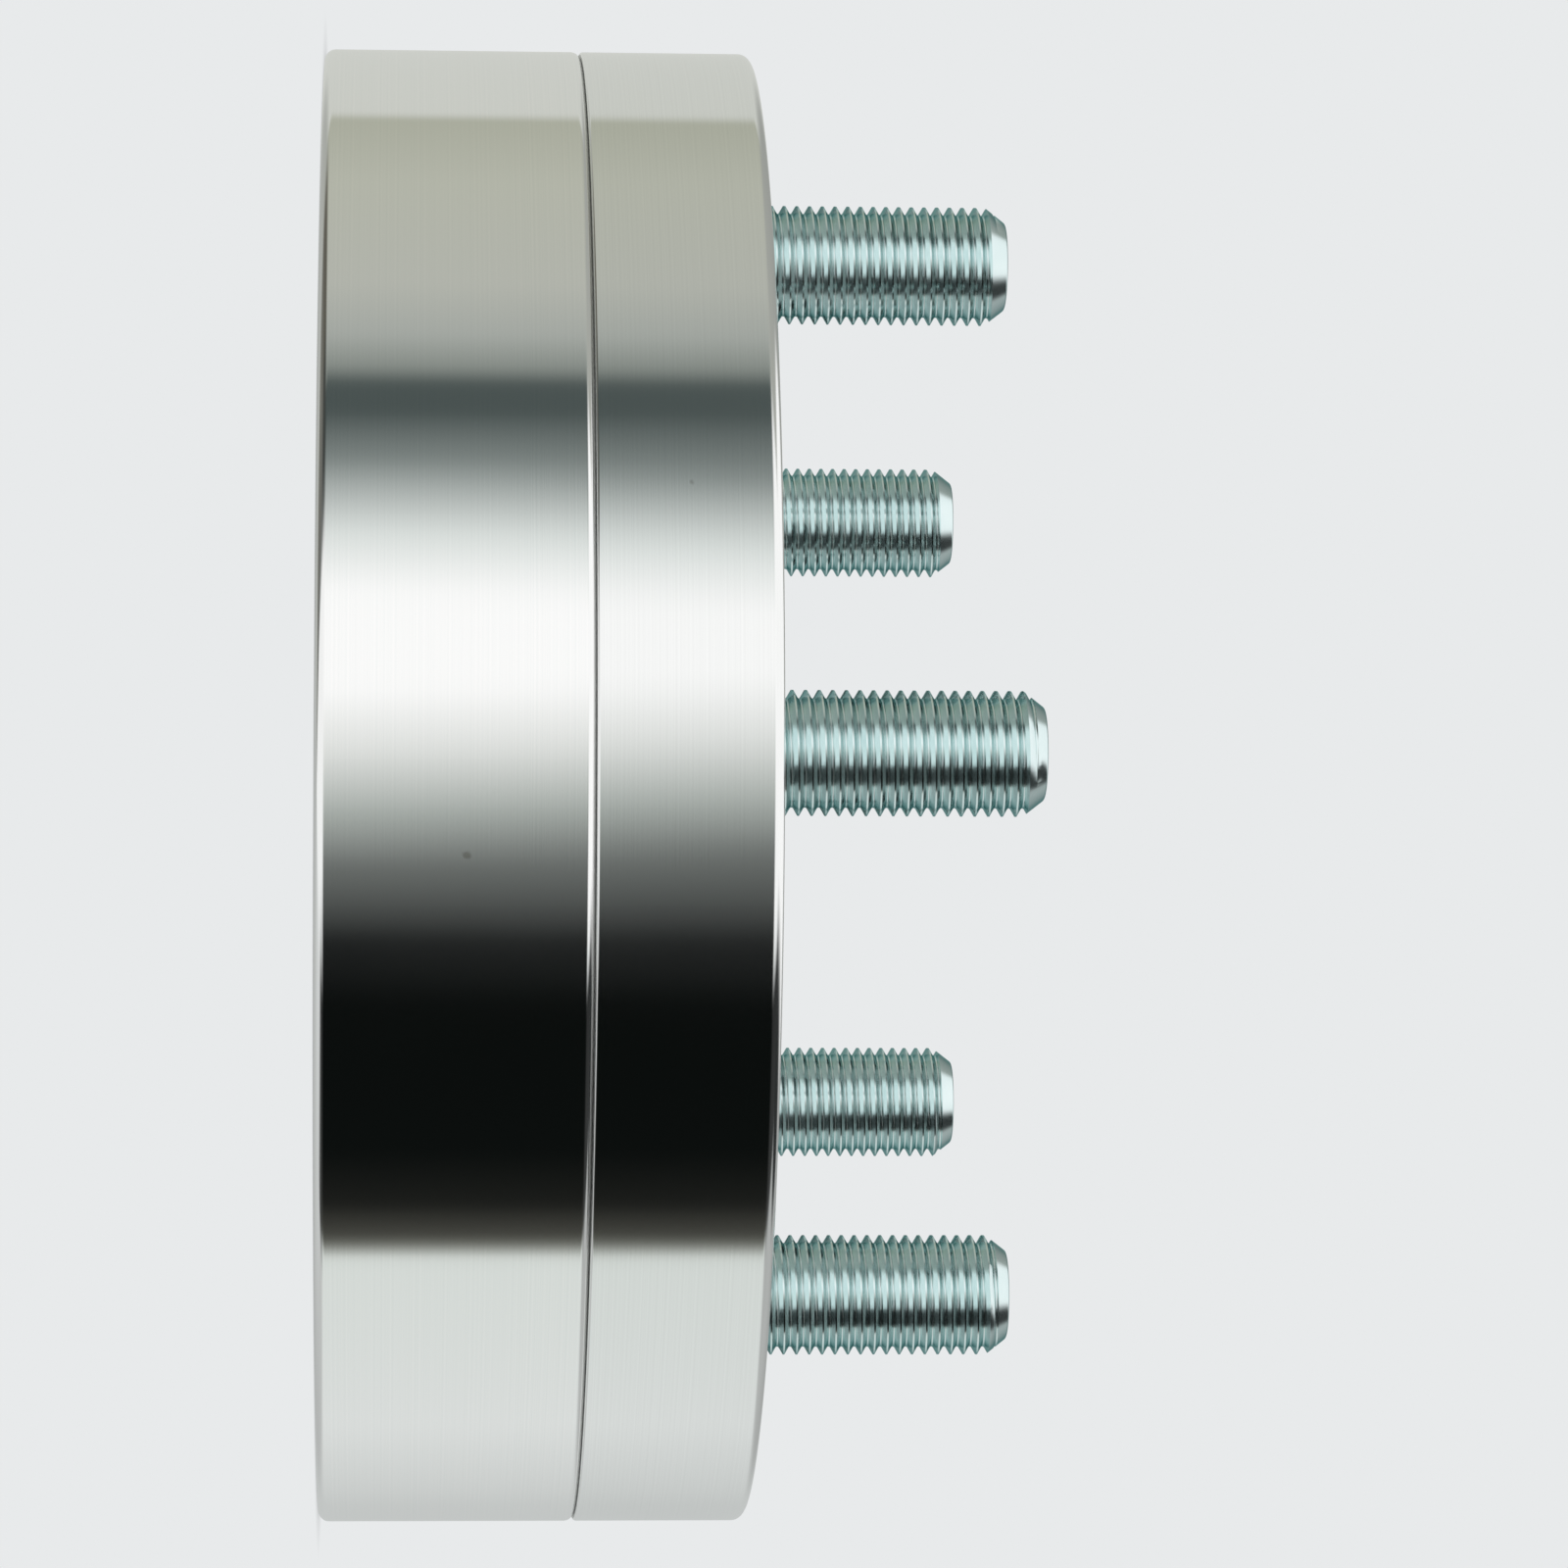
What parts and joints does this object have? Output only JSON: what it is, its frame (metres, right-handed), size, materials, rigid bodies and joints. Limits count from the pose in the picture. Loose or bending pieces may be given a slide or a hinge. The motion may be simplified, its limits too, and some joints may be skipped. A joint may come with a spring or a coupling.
{
  "type": "wheel spacer",
  "caption": "Round two-plate aluminium wheel spacer with a centre bore, sunk lug wells for the hub's studs and threaded studs that carry the wheel.",
  "frame": {"origin": "centre of the hub face, on the axis of the bore", "axes": "+Z along the axis, from the hub towards the wheel; the first stud lies towards -Y"},
  "size_m": [0.175, 0.175, 0.08],
  "materials": {
    "turned_aluminium": "fine turned, bare",
    "zinc_plated_steel": "zinc plated",
    "black_oxide_steel": "black oxide"
  },
  "bodies": {
    "root": {"hub_plate": "turned_aluminium", "wheel_plate": "turned_aluminium", "wheel_stud_1": "zinc_plated_steel", "wheel_stud_2": "zinc_plated_steel", "wheel_stud_3": "zinc_plated_steel", "wheel_stud_4": "zinc_plated_steel", "wheel_stud_5": "zinc_plated_steel", "plate_screw_1": "black_oxide_steel", "plate_screw_2": "black_oxide_steel", "plate_screw_3": "black_oxide_steel", "plate_screw_4": "black_oxide_steel", "plate_screw_5": "black_oxide_steel"}
  },
  "joints": []
}
